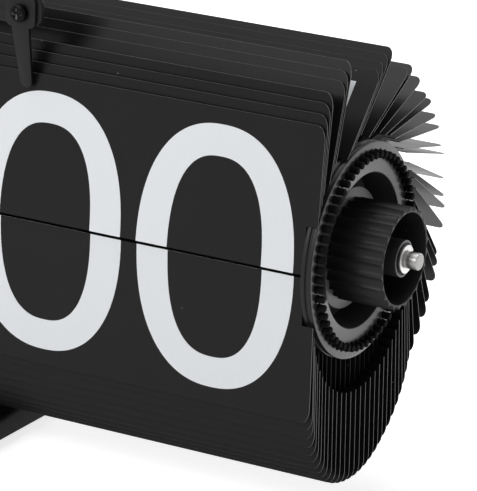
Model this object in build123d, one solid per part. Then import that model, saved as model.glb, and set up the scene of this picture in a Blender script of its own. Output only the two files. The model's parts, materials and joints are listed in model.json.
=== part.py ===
from build123d import *
import math
import os

# A table flip clock: two drums of split flaps on one axle, carried by a column on a foot plate.
# Millimetres and degrees. X runs along the axle with the minutes on +X, Y to the back, Z up from the table.

# Clearances
turning_gap = 0.05
screw_gap = 0.1
panel_gap = 0.2
side_gap = 0.3
cut_overrun = 1.0

# Flaps
flap_width = 145.0
flap_reach = 50.4
flap_thickness = 0.25
flap_corner_radius = 5.5
split_gap = 1.3
notch_gap = 0.35
flap_count = 60
drum_phase = -0.9
pin_circle_radius = 35.0
ear_height = 1.2
ear_reach = 0.7
ear_gap = 0.3

# The first flaps stand forward in their pivots' play, each this far in front of the next
front_play = 0.35
front_play_count = 2

# How the flaps stand at rest, in groups from the front one over the back: lean of a group's first and last
fan_group_counts = (1, 3, 3, 4, 2, 1, 2, 2, 2, 2, 2, 2, 2, 3, 8, 20, 1)
fan_lean_angles = (
    (5.0, 5.0), (6.0, 7.3), (15.9, 16.3), (42.0, 43.0), (60.0, 61.3), (69.7, 69.7),
    (78.4, 82.3), (89.2, 94.2), (101.8, 104.6), (114.0, 120.0), (123.1, 129.6),
    (140.1, 141.8), (145.6, 153.2), (157.1, 169.0), (172.5, 177.2), (177.5, 177.5), (180.0, 180.0),
)
upper_pack_count = 11
fan_pack_count = 20

# Numerals
digit_height = 93.2
digit_margin = 7.95
digit_space = 6.3
side_stroke = 12.3
end_stroke = 11.0
ink_thickness = 0.1
nought_steps = 48
outer_curve_power = 2.3
inner_curve_power = 2.5
one_flag_width_share = 0.27
one_flag_foot_share = 0.17
one_flag_inner_share = 0.29
one_flag_edge_share = 0.31
one_flag_tip_share = 0.08

# Drum
rim_wall = 3.0
rim_width = 4.0
rim_groove_width = 0.8
rim_groove_depth = 0.6
well_inset = 7.8
well_edge = 1.0
well_wall = 2.0
well_depth = 12.0
web_thickness = 2.5
core_wall = 1.5
peg_inset = 4.2
peg_radius = 1.55
peg_standout = 2.8
peg_edge = 0.25
pocket_depth = 1.8
pocket_play = 0.7
hub_radius = 10.0
flange_radius = 21.4
flange_thickness = 1.5
flange_sink = 5.2
sleeve_radius = 8.0

# Setting knob on the drum's end
knob_radius = 18.1
knob_standout = 16.0
knob_wall = 2.0
knob_floor = 3.0
flute_count = 24
flute_radius = 2.6
flute_depth = 1.3
knob_bush_radius = 6.5
knob_bush_sink = 0.3

# Axle
flap_ground_gap = 3.1
axle_radius = 3.0
axle_standout = 21.9
axle_edge = 0.5
clip_radius = 5.0
clip_thickness = 0.8
clip_groove_depth = 0.5
clip_mouth = 3.6
clip_play = 0.4

# Column
column_wall = 2.5
column_front = 32.0
column_back = 29.0
column_split = 14.0
column_rise = 81.0
column_top_depth = 15.0
column_back_rise = 35.0
column_edge = 3.0
drum_gap = 2.0
bush_wall = 2.5
tongue_depth = 9.0
tongue_height = 8.0
tongue_thickness = 3.0
tongue_low_rise = 8.0
tongue_high_drop = 42.0
board_post_radius = 2.5

# Foot
base_width = 42.0
base_depth = 124.0
base_thickness = 8.0
base_corner = 10.0
base_edge = 2.0
pad_thickness = 1.5
pad_inset = 2.5
base_screw_front = 24.0
base_screw_back = 6.0
base_screw_spread = 6.0

# Gear train
small_teeth = 12
idler_teeth = 36
large_teeth = 48
first_module = 1.0
pressure_angle = 25.0
tooth_play = 0.16
root_share = 1.25
flank_steps = 4
wheel_thickness = 3.0
wall_clearance = 0.5
pinion_length = 3.8
idler_side_gap = 0.4
idler_pinion_length = 5.0
hour_wheel_gap = 1.0
idler_angle = 90.0
idler_pin_radius = 1.5
motor_angle = -120.0
motor_radius = 11.0
motor_wheel_gap = 1.2
motor_tray_gap = 0.5
motor_shaft_radius = 1.0
motor_boss_radius = 3.5
motor_boss_length = 0.8
motor_pinion_overhang = 0.2

# Power
cell_radius = 7.25
cell_length = 50.5
cell_gap = 0.5
cell_side_gap = 0.05
cell_cap_radius = 2.75
cell_cap_length = 1.0
tray_wall = 1.2
contact_thickness = 0.4
contact_width = 9.0
board_width = 18.0
board_height = 42.0
board_thickness = 1.6
board_offset = 22.0
board_lift = 5.0
chip_width = 8.0
chip_height = 10.0
chip_thickness = 1.4
cover_width = 18.0
cover_margin = 1.0
cover_grip_radius = 5.0
cover_grip_depth = 1.0

# Catch bracket and fingers
bracket_reach = 37.0
bracket_thickness = 5.0
bracket_arm_thickness = 1.6
bracket_height = 11.7
bracket_corner = 4.0
bracket_edge = 0.8
finger_inset = 29.0
finger_plate_width = 12.0
finger_plate_corner = 2.5
finger_root_width = 7.2
finger_tip_width = 4.6
finger_thickness = 1.2
finger_overlap = 5.3
finger_top_gap = 1.0
finger_bend_drop = 0.5
finger_gap = 0.3

# Screws
screw_radius = 1.5
pan_head_radius = 3.1
pan_head_height = 2.2
pan_head_edge = 0.9
cross_length = 3.8
cross_width = 0.9
cross_depth = 1.1
flat_head_radius = 2.8
flat_head_height = 1.4
finger_screw_drop = 7.1
bracket_screw_spread = 7.0

# Sizes that follow from the ones above
flap_pitch = 360.0 / flap_count
half_step = pin_circle_radius * math.sin(math.radians(flap_pitch / 2))
flap_lead = half_step - split_gap / 2
rim_radius = pin_circle_radius + rim_wall
well_radius = pin_circle_radius - well_inset
notch_height = math.sqrt((rim_radius + notch_gap) ** 2 - pin_circle_radius ** 2)
wall_x = cell_radius + cell_side_gap + tongue_thickness + panel_gap
column_width = 2 * (wall_x + column_wall)
inner_x = column_width / 2 + drum_gap
outer_x = inner_x + flap_width
flap_middle = inner_x + flap_width / 2
rim_x = outer_x - rim_width
narrow_width = flap_width - 2 * (rim_width + side_gap)
digit_width = (flap_width - 2 * digit_margin - digit_space) / 2
digit_pitch = digit_width + digit_space
peg_circle_radius = rim_radius - peg_inset
web_x = outer_x - well_depth
flange_x = outer_x - flange_sink
knob_end_x = outer_x + knob_standout
knob_floor_x = flange_x + knob_floor
knob_bush_x = knob_end_x - knob_bush_sink
clip_x = knob_bush_x + side_gap
axle_end_x = outer_x + axle_standout
bore_radius = axle_radius + turning_gap
base_top = pad_thickness + base_thickness
floor_top = base_top + column_wall
cell_bottom = floor_top + tray_wall + contact_thickness
cell_top = cell_bottom + cell_length
tray_top = cell_top + contact_thickness + tray_wall
gear_centre = first_module * (small_teeth + idler_teeth) / 2
motor_drop = motor_radius - gear_centre * math.sin(math.radians(motor_angle))
flaps_need = base_top + flap_ground_gap + pin_circle_radius + flap_reach
movement_needs = tray_top + motor_tray_gap + motor_drop
axis_height = max(flaps_need, movement_needs)
column_top = axis_height + column_rise
second_module = 2 * gear_centre / (small_teeth + large_teeth)
drive_wheel_end = wall_x - wall_clearance
drive_wheel_x = drive_wheel_end - wheel_thickness
pinion_x = drive_wheel_x - pinion_length
idler_wheel_end = drive_wheel_x - idler_side_gap
idler_wheel_x = idler_wheel_end - wheel_thickness
idler_pinion_x = idler_wheel_x - idler_pinion_length
hour_wheel_end = pinion_x - hour_wheel_gap
hour_wheel_x = hour_wheel_end - wheel_thickness
motor_end_x = hour_wheel_x - motor_wheel_gap
bush_radius = sleeve_radius + bush_wall
bush_x = drive_wheel_end + side_gap
bush_end_x = inner_x - side_gap
rear_cell_y = column_back - column_wall - cell_gap - cell_radius
front_cell_y = rear_cell_y - 2 * cell_radius - cell_gap
tray_front = front_cell_y - cell_radius - cell_gap - tray_wall
bracket_bottom = axis_height + column_rise - bracket_height
bracket_front = column_front + bracket_thickness
finger_x = inner_x + finger_inset


def tube(x0, x1, outer, inner=0.0):
    """Round wall about the axle's line, from x0 to x1."""
    section = Circle(outer)
    if inner > 0:
        section -= Circle(inner)
    return extrude(Plane.YZ.offset(x0) * section, amount=x1 - x0)


def on_axle(shape):
    """Lifts a shape from the origin's X line to the axle."""
    return Pos(0, 0, axis_height) * shape


def block(x0, x1, y0, y1, z0, z1):
    """Box between two corners."""
    size = Box(x1 - x0, y1 - y0, z1 - z0)
    return Pos((x0 + x1) / 2, (y0 + y1) / 2, (z0 + z1) / 2) * size


def edges_near(shape, axis, place):
    """Edges whose middle has this coordinate on an axis."""
    picked = []
    for edge in shape.edges():
        if abs(getattr(edge.center(), axis) - place) < turning_gap:
            picked.append(edge)
    return picked


def mirrored(shape):
    """The hour side's twin of a minute-side shape."""
    return mirror(shape, about=Plane.YZ)


# Screws, made along +Z with the underside of the head at the origin
def pan_screw(shank_length):
    head = Cylinder(pan_head_radius, pan_head_height, align=(Align.CENTER, Align.CENTER, Align.MIN))
    head = fillet(head.edges().group_by(Axis.Z)[-1], pan_head_edge)
    cross_floor = pan_head_height - cross_depth
    cross_top = pan_head_height + cut_overrun
    for length, width in ((cross_length, cross_width), (cross_width, cross_length)):
        head -= block(-length / 2, length / 2, -width / 2, width / 2, cross_floor, cross_top)
    shank = Cylinder(screw_radius, shank_length, align=(Align.CENTER, Align.CENTER, Align.MAX))
    return head + shank


def flat_screw(shank_length):
    head = Pos(0, 0, -flat_head_height) * Cone(screw_radius, flat_head_radius, flat_head_height,
                                               align=(Align.CENTER, Align.CENTER, Align.MIN))
    slot_floor = -flat_head_height / 2
    for length, width in ((cross_length, cross_width), (cross_width, cross_length)):
        head -= block(-length / 2, length / 2, -width / 2, width / 2, slot_floor, cut_overrun)
    shank = Pos(0, 0, -flat_head_height) * Cylinder(screw_radius, shank_length - flat_head_height,
                                                   align=(Align.CENTER, Align.CENTER, Align.MAX))
    return head + shank


def flat_screw_hole(depth):
    """Countersunk hole for a flat screw, along -Z from the origin."""
    hole_radius = screw_radius + screw_gap
    sink = Cone(hole_radius, flat_head_radius + screw_gap, flat_head_height,
                align=(Align.CENTER, Align.CENTER, Align.MIN))
    bore = Cylinder(hole_radius, depth, align=(Align.CENTER, Align.CENTER, Align.MAX))
    return Pos(0, 0, -flat_head_height) * sink + bore


# Flaps
def flap_leans():
    """Lean of each flap from upright, in order from the front one over the back and round."""
    leans = []
    for count, (first, last) in zip(fan_group_counts, fan_lean_angles):
        for index in range(count):
            share = index / (count - 1) if count > 1 else 0
            leans.append(first + (last - first) * share)
    return leans


def flap_plane(index, lean):
    """A flap's own frame at its pin: X along the axle, Y towards the tip."""
    angle = math.radians(drum_phase + flap_pitch * (index + 0.5))
    turn = math.radians(lean)
    radius = pin_circle_radius + front_play * max(0, front_play_count - index)
    origin = (flap_middle, -radius * math.cos(angle), radius * math.sin(angle))
    return Plane(origin=origin, x_dir=(1, 0, 0), z_dir=(0, -math.cos(turn), math.sin(turn)))


def flap_sheet():
    """One flap: narrow between the discs, with an ear at each side, and full width past them."""
    wide = Pos(0, (notch_height + flap_reach) / 2) * Rectangle(flap_width, flap_reach - notch_height)
    wide = fillet(wide.vertices().group_by(Axis.Y)[-1], flap_corner_radius)
    narrow = Pos(0, (notch_height - flap_lead) / 2) * Rectangle(narrow_width, notch_height + flap_lead)
    ears = Rectangle(narrow_width + 2 * (side_gap + ear_reach), ear_height)
    return extrude(wide + narrow + ears, amount=flap_thickness / 2, both=True)


def flap_packs():
    """The flaps at rest, as named packs of separate sheets."""
    sheet = flap_sheet()
    placed = []
    for index, lean in enumerate(flap_leans()):
        placed.append(flap_plane(index, lean) * sheet)
    last_fan = upper_pack_count + fan_pack_count
    return {
        "front_upper_flap": placed[:1],
        "upper_flaps": placed[1:upper_pack_count],
        "fan_flaps": placed[upper_pack_count:last_fan],
        "hanging_flaps": placed[last_fan:-1],
        "falling_flap": placed[-1:],
    }


# Numerals, flat on the two front flaps
def round_outline(half_width, half_height, power):
    """Closed oval whose sides are squarer than an ellipse's."""
    points = []
    for step in range(nought_steps):
        angle = 2 * math.pi * step / nought_steps
        across = math.copysign(abs(math.cos(angle)) ** (2 / power), math.cos(angle))
        along = math.copysign(abs(math.sin(angle)) ** (2 / power), math.sin(angle))
        points.append((half_width * across, half_height * along))
    return make_face(Spline(*points, periodic=True))


def nought():
    outer = round_outline(digit_width / 2, digit_height / 2, outer_curve_power)
    inner = round_outline(digit_width / 2 - side_stroke, digit_height / 2 - end_stroke, inner_curve_power)
    return outer - inner


def one():
    right = side_stroke / 2
    left = -side_stroke / 2
    flag = left - digit_width * one_flag_width_share
    points = [
        (right, digit_height / 2),
        (right, -digit_height / 2),
        (left, -digit_height / 2),
        (left, digit_height * one_flag_inner_share),
        (flag, digit_height * one_flag_foot_share),
        (flag, digit_height * one_flag_edge_share),
        (left + digit_width * one_flag_tip_share, digit_height / 2),
    ]
    return make_face(Polyline(*points, close=True))


def numeral_halves(left_glyph, right_glyph):
    """Ink of the upper and of the lower half of two figures, in the front flaps' own frames."""
    figures = Pos(-digit_pitch / 2, 0) * left_glyph + Pos(digit_pitch / 2, 0) * right_glyph
    window = Pos(0, split_gap / 2 + digit_height / 2) * Rectangle(flap_width, digit_height)
    upper = Pos(0, -half_step, flap_thickness / 2) * (figures & window)
    lower = Pos(0, -half_step, -flap_thickness / 2) * (mirror(figures, about=Plane.XZ) & window)
    leans = flap_leans()
    upper_ink = extrude(upper, amount=ink_thickness, dir=(0, 0, 1))
    lower_ink = extrude(lower, amount=ink_thickness, dir=(0, 0, -1))
    return flap_plane(0, leans[0]) * upper_ink, flap_plane(flap_count - 1, leans[-1]) * lower_ink


# Drum, minute side
def ear_groove(x0, x1):
    """Round groove in a disc's inner face that the flaps' ears stand in."""
    margin = ear_height / 2 + ear_gap
    outside = pin_circle_radius + front_play * front_play_count + margin
    return tube(x0, x1, outside, pin_circle_radius - margin)


def outer_disc():
    wall_radius = well_radius + well_wall
    disc = tube(rim_x, outer_x, rim_radius, well_radius)
    disc = chamfer(edges_near(disc, "X", outer_x), well_edge / 2)
    pockets = Sketch()
    for place in PolarLocations(peg_circle_radius, flap_count, drum_phase + flap_pitch / 2):
        slot_length = 2 * (peg_radius + screw_gap) + pocket_play
        pockets += place * SlotOverall(slot_length, 2 * (peg_radius + screw_gap))
    disc -= extrude(Plane.YZ.offset(outer_x - pocket_depth) * pockets, amount=pocket_depth + cut_overrun)
    groove_x = (rim_x + outer_x - rim_groove_width) / 2
    groove_radius = rim_radius - rim_groove_depth
    disc -= tube(groove_x, groove_x + rim_groove_width, rim_radius + cut_overrun, groove_radius)
    disc -= ear_groove(rim_x - cut_overrun, rim_x + ear_reach + ear_gap)
    disc += tube(web_x - web_thickness, rim_x, wall_radius, well_radius)
    disc += tube(web_x - web_thickness, web_x, wall_radius, bore_radius)
    disc += tube(web_x, flange_x - flange_thickness, hub_radius, bore_radius)
    return disc


def index_pegs():
    """Ring of round pegs that stands proud of the outer disc, one for each flap."""
    pegs = []
    for place in PolarLocations(peg_circle_radius, flap_count, drum_phase + flap_pitch / 2):
        seat = Plane.YZ.offset(outer_x - pocket_depth) * place
        peg = extrude(seat * Circle(peg_radius), amount=pocket_depth + peg_standout)
        pegs.append(chamfer(edges_near(peg, "X", outer_x + peg_standout), peg_edge))
    return pegs


def inner_disc(sleeve_end):
    """Plain disc beside the column, with the sleeve that runs in the column's bush."""
    wall_radius = well_radius + well_wall
    disc_end = inner_x + rim_width
    disc = tube(inner_x, disc_end, rim_radius, well_radius)
    disc -= ear_groove(disc_end - ear_reach - ear_gap, disc_end + cut_overrun)
    disc += tube(inner_x, inner_x + web_thickness, wall_radius, bore_radius)
    disc += tube(inner_x, inner_x + well_depth, wall_radius, well_radius)
    disc += tube(sleeve_end, inner_x, sleeve_radius, bore_radius)
    return disc


def drum_core():
    """Tube between the two discs, over both well walls."""
    inside = well_radius + well_wall
    return tube(inner_x + rim_width, rim_x, inside + core_wall, inside)


def knob():
    outline = Circle(knob_radius)
    flute_circle = knob_radius + flute_radius - flute_depth
    for place in PolarLocations(flute_circle, flute_count):
        outline -= place * Circle(flute_radius)
    cup = extrude(Plane.YZ.offset(flange_x) * outline, amount=knob_end_x - flange_x)
    cup -= tube(knob_floor_x, knob_end_x + cut_overrun, knob_radius - knob_wall)
    return cup - tube(flange_x - cut_overrun, knob_floor_x + cut_overrun, bore_radius)


# Axle
def axle():
    rod = tube(-axle_end_x, axle_end_x, axle_radius)
    rod = chamfer(edges_near(rod, "X", axle_end_x) + edges_near(rod, "X", -axle_end_x), axle_edge)
    groove_end = clip_x + clip_thickness + clip_play
    groove = tube(clip_x, groove_end, axle_radius + cut_overrun, axle_radius - clip_groove_depth)
    return rod - groove - mirrored(groove)


def axle_clip():
    """Open spring clip in the axle's groove."""
    ring = tube(clip_x, clip_x + clip_thickness, clip_radius, axle_radius - clip_groove_depth)
    mouth = block(clip_x - cut_overrun, clip_x + clip_thickness + cut_overrun,
                  0, clip_radius + cut_overrun, -clip_mouth / 2, clip_mouth / 2)
    return ring - mouth


# Gears, flat in the YZ plane
def gear(module, teeth, x0, x1, bore, tooth_angle):
    """Spur gear with involute flanks, one tooth pointing at tooth_angle."""
    pitch_radius = module * teeth / 2
    slant = math.radians(pressure_angle)
    base_radius = pitch_radius * math.cos(slant)
    root_radius = pitch_radius - module * root_share
    tip_radius = pitch_radius + module
    half_tooth = math.pi / (2 * teeth) - tooth_play / (2 * pitch_radius)
    opening = math.tan(slant) - slant
    flank = []
    start = max(base_radius, root_radius)
    for step in range(flank_steps):
        radius = start + (tip_radius - start) * step / (flank_steps - 1)
        roll = math.acos(min(base_radius / radius, 1))
        flank.append((radius, half_tooth + opening - (math.tan(roll) - roll)))
    if root_radius < base_radius:
        flank.insert(0, (root_radius, flank[0][1]))
    points = []
    for tooth in range(teeth):
        middle = math.radians(tooth_angle) + 2 * math.pi * tooth / teeth
        side = [(radius, middle - spread) for radius, spread in flank]
        side += [(radius, middle + spread) for radius, spread in reversed(flank)]
        points += [(radius * math.cos(turn), radius * math.sin(turn)) for radius, turn in side]
    section = make_face(Polyline(*points, close=True)) - Circle(bore)
    return extrude(Plane.YZ.offset(x0) * section, amount=x1 - x0)


def gear_place(angle):
    """Place of a gear centre round the axle; the angle is measured from the back, over the top."""
    turn = math.radians(angle)
    return Pos(0, gear_centre * math.cos(turn), axis_height + gear_centre * math.sin(turn))


def facing_gap(angle, teeth):
    """Tooth angle that turns a gap towards the axle from a gear placed at this angle."""
    return angle + 180.0 + 180.0 / teeth


def idler_gear():
    bore = idler_pin_radius + turning_gap
    wheel = gear(first_module, idler_teeth, idler_wheel_x, idler_wheel_end, bore,
                 facing_gap(idler_angle, idler_teeth))
    small = gear(second_module, small_teeth, idler_pinion_x, idler_wheel_x, bore,
                 facing_gap(idler_angle, small_teeth))
    return gear_place(idler_angle) * (wheel + small)


def idler_pin():
    return gear_place(idler_angle) * tube(-wall_x, wall_x, idler_pin_radius)


def motor_body():
    case = tube(-wall_x, motor_end_x - motor_boss_length, motor_radius)
    case = fillet(edges_near(case, "X", motor_end_x - motor_boss_length), motor_boss_length)
    boss = tube(motor_end_x - motor_boss_length, motor_end_x, motor_boss_radius)
    bore = tube(motor_end_x - motor_boss_length - cut_overrun, motor_end_x + cut_overrun,
                motor_shaft_radius + turning_gap)
    return gear_place(motor_angle) * (case + boss - bore)


def motor_pinion():
    overhang = motor_pinion_overhang
    teeth = gear(second_module, small_teeth, drive_wheel_x - overhang, drive_wheel_end + overhang,
                 motor_shaft_radius, facing_gap(motor_angle, small_teeth))
    shaft = tube(motor_end_x - motor_boss_length, drive_wheel_end + overhang, motor_shaft_radius)
    return gear_place(motor_angle) * (teeth + shaft)


# Column
def column_outline(inset):
    """Side view of the column, drawn in from its outside by an inset."""
    slope_start = -column_front + column_top_depth
    points = [
        (-column_front, base_top),
        (-column_front, column_top),
        (slope_start, column_top),
        (column_back, axis_height + column_back_rise),
        (column_back, base_top),
    ]
    face = make_face(Polyline(*points, close=True))
    if inset > 0:
        face = offset(face, -inset, kind=Kind.INTERSECTION)
    return face


def column_shell():
    """The whole column, hollow, before it is parted into its two halves."""
    half = column_width / 2
    body = extrude(Plane.YZ * column_outline(0), amount=half, both=True)
    upright = []
    for edge in body.edges().filter_by(Axis.Z):
        upright.append(edge)
    body = fillet(upright, column_edge)
    return body - extrude(Plane.YZ * column_outline(column_wall), amount=half - column_wall, both=True)


def tongue_heights():
    return (floor_top + tongue_low_rise, column_top - tongue_high_drop)


def column_front_shell():
    shell = column_shell()
    shell = split(shell, bisect_by=Plane.XZ.offset(-column_split), keep=Keep.TOP)
    shell -= on_axle(tube(-column_width, column_width, bush_radius))
    post_length = column_front - column_wall - board_offset
    for height in (board_lift, board_height - board_lift):
        seat = Plane.XZ.offset(board_offset) * Pos(0, floor_top + board_lift + height)
        shell += extrude(seat * Circle(board_post_radius), amount=post_length)
    hole_depth = column_wall + cut_overrun
    for x in (-base_screw_spread, base_screw_spread):
        for y in (-base_screw_front, base_screw_back):
            bore = Cylinder(screw_radius + screw_gap, 2 * hole_depth)
            shell -= Pos(x, y, base_top) * bore
    for x in (-bracket_screw_spread, bracket_screw_spread):
        bore = Plane(origin=(x, -column_front, bracket_bottom + bracket_height / 2), z_dir=(0, 1, 0))
        shell -= bore * Cylinder(screw_radius + screw_gap, 2 * hole_depth)
    for hole in tongue_screw_planes():
        shell -= hole * flat_screw_hole(hole_depth)
    return shell


def tongue_screw_planes():
    """Where the four side screws of the column go in, each plane facing outwards."""
    planes = []
    for side in (-1, 1):
        for height in tongue_heights():
            origin = (side * column_width / 2, column_split - tongue_depth / 2, height)
            planes.append(Plane(origin=origin, z_dir=(side, 0, 0)))
    return planes


def column_rear_cover():
    shell = split(column_shell(), bisect_by=Plane.XZ.offset(-column_split), keep=Keep.BOTTOM)
    inside = wall_x - panel_gap
    for height in tongue_heights():
        for side in (-1, 1):
            inner = side * (inside - tongue_thickness)
            outer = side * inside
            tongue = block(min(inner, outer), max(inner, outer), column_split - tongue_depth, column_split,
                           height - tongue_height / 2, height + tongue_height / 2)
            wall = side * (wall_x + column_wall / 2)
            root = block(min(inner, wall), max(inner, wall), column_split, column_split + tongue_thickness,
                         height - tongue_height / 2, height + tongue_height / 2)
            shell += tongue + root
    for hole in tongue_screw_planes():
        shell -= hole * flat_screw_hole(column_wall + panel_gap + tongue_thickness + cut_overrun)
    gap = panel_gap
    shell -= block(-cover_width / 2 - gap, cover_width / 2 + gap,
                   column_back - column_wall - cut_overrun, column_back + cut_overrun,
                   cover_bottom() - gap, cover_top() + gap)
    return shell


def cover_bottom():
    return cell_bottom - cover_margin


def cover_top():
    return cell_top + cover_margin


def battery_cover():
    panel = block(-cover_width / 2, cover_width / 2, column_back - column_wall, column_back,
                  cover_bottom(), cover_top())
    grip = Plane.XZ.offset(-column_back) * Pos(0, cover_top() - 2 * cover_grip_radius)
    return panel - extrude(grip * Circle(cover_grip_radius), amount=cover_grip_depth)


# Power and board
def battery_cells():
    cells = []
    for y, up in ((front_cell_y, True), (rear_cell_y, False)):
        body_length = cell_length - cell_cap_length
        body = Cylinder(cell_radius, body_length, align=(Align.CENTER, Align.CENTER, Align.MIN))
        cap = Pos(0, 0, body_length) * Cylinder(cell_cap_radius, cell_cap_length,
                                                align=(Align.CENTER, Align.CENTER, Align.MIN))
        cell = body + cap
        if not up:
            cell = Pos(0, 0, cell_length) * (Rot(180, 0, 0) * cell)
        cells.append(Pos(0, y, cell_bottom) * cell)
    return cells


def battery_tray():
    back = column_back - column_wall - cell_gap
    inner_width = wall_x - tongue_thickness - 2 * panel_gap
    floor = block(-inner_width, inner_width, tray_front, back, floor_top, floor_top + tray_wall)
    roof = block(-inner_width, inner_width, tray_front, back, tray_top - tray_wall, tray_top)
    wall = block(-inner_width, inner_width, tray_front, tray_front + tray_wall, floor_top, tray_top)
    return floor + roof + wall


def battery_contacts():
    """Spring strips at both ends of the cells; the upper one joins the pair."""
    front = front_cell_y - contact_width / 2
    rear = rear_cell_y + contact_width / 2
    half = contact_width / 2
    strips = [block(-half, half, front, rear, cell_top, cell_top + contact_thickness)]
    for y in (front_cell_y, rear_cell_y):
        strips.append(block(-half, half, y - half, y + half, cell_bottom - contact_thickness, cell_bottom))
    return strips


def circuit_board():
    low = floor_top + board_lift
    board = block(-board_width / 2, board_width / 2, -board_offset, -board_offset + board_thickness,
                  low, low + board_height)
    middle = low + board_height / 2
    face = -board_offset + board_thickness
    chip = block(-chip_width / 2, chip_width / 2, face, face + chip_thickness,
                 middle - chip_height / 2, middle + chip_height / 2)
    return board + chip


# Foot
def base_plate():
    foot = RectangleRounded(base_width, base_depth, base_corner)
    plate = extrude(Plane.XY.offset(pad_thickness) * foot, amount=base_thickness)
    plate = fillet(plate.edges().group_by(Axis.Z)[-1], base_edge)
    for hole in base_screw_planes():
        plate -= hole * flat_screw_hole(base_thickness + cut_overrun)
    return plate


def base_screw_planes():
    """Screws come up from the foot's underside into the column's floor."""
    planes = []
    for x in (-base_screw_spread, base_screw_spread):
        for y in (-base_screw_front, base_screw_back):
            planes.append(Plane(origin=(x, y, pad_thickness), z_dir=(0, 0, -1)))
    return planes


def base_pad():
    inset = 2 * pad_inset
    return extrude(RectangleRounded(base_width - inset, base_depth - inset, base_corner - pad_inset),
                   amount=pad_thickness)


# Catch bracket
def catch_bracket():
    """Bar across the column's front, with a thin arm out to each finger."""
    half = inner_x + bracket_reach
    face = Pos(0, bracket_height / 2) * Rectangle(2 * half, bracket_height)
    face = fillet(face.vertices(), bracket_corner)
    bar = extrude(Plane.XZ.offset(column_front) * Pos(0, bracket_bottom) * face, amount=bracket_thickness)
    bar = fillet(edges_near(bar, "Y", -bracket_front), bracket_edge)
    arm_back = -bracket_front + bracket_arm_thickness
    relief = block(column_width / 2, half + cut_overrun, arm_back, -column_front + cut_overrun,
                   bracket_bottom - cut_overrun, column_top + cut_overrun)
    bar -= relief + mirrored(relief)
    bore_depth = bracket_thickness + cut_overrun
    for plane in bracket_screw_planes() + finger_screw_planes():
        bore = plane * Cylinder(screw_radius + screw_gap, 2 * bore_depth + 2 * finger_thickness)
        bar -= bore
    return bar


def bracket_screw_planes():
    height = bracket_bottom + bracket_height / 2
    planes = []
    for x in (-bracket_screw_spread, bracket_screw_spread):
        planes.append(Plane(origin=(x, -bracket_front, height), z_dir=(0, -1, 0)))
    return planes


def finger_screw_planes():
    height = column_top - finger_screw_drop
    planes = []
    for x in (-finger_x, finger_x):
        planes.append(Plane(origin=(x, -bracket_front - finger_thickness, height), z_dir=(0, -1, 0)))
    return planes


def catch_finger():
    """Tapered strip, flat on the bracket and then bent back to the front flap's upper edge."""
    front = flap_plane(0, flap_leans()[0])
    standoff = flap_thickness / 2 + ink_thickness + finger_gap
    touch = front.origin + front.y_dir * (flap_reach - finger_overlap) + front.z_dir * standoff
    tip_y = touch.Y
    tip_z = axis_height + touch.Z
    top_z = column_top - finger_top_gap
    bend_z = bracket_bottom - finger_bend_drop
    back = -bracket_front
    profile = [
        (back, top_z),
        (back, bend_z),
        (tip_y, tip_z),
        (tip_y - finger_thickness, tip_z),
        (back - finger_thickness, bend_z),
        (back - finger_thickness, top_z),
    ]
    strip = extrude(Plane.YZ.offset(finger_x) * make_face(Polyline(*profile, close=True)),
                    amount=finger_plate_width / 2, both=True)
    plate = Pos(0, (top_z + bend_z) / 2) * Rectangle(finger_plate_width, top_z - bend_z)
    plate = fillet(plate.vertices(), finger_plate_corner)
    root_z = bend_z + finger_plate_corner
    tip_corner = finger_tip_width / 2
    blade = [
        (-finger_root_width / 2, root_z),
        (-tip_corner, tip_z + tip_corner),
        (tip_corner, tip_z + tip_corner),
        (finger_root_width / 2, root_z),
    ]
    face = plate + make_face(Polyline(*blade, close=True)) + Pos(0, tip_z + tip_corner) * Circle(tip_corner)
    taper = extrude(Plane.XZ.offset(column_front - bracket_thickness) * Pos(finger_x, 0) * face,
                    amount=2 * bracket_front)
    finger = strip & taper
    plane = finger_screw_planes()[1]
    return finger - plane * Cylinder(screw_radius + screw_gap, 2 * bracket_thickness)


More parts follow.
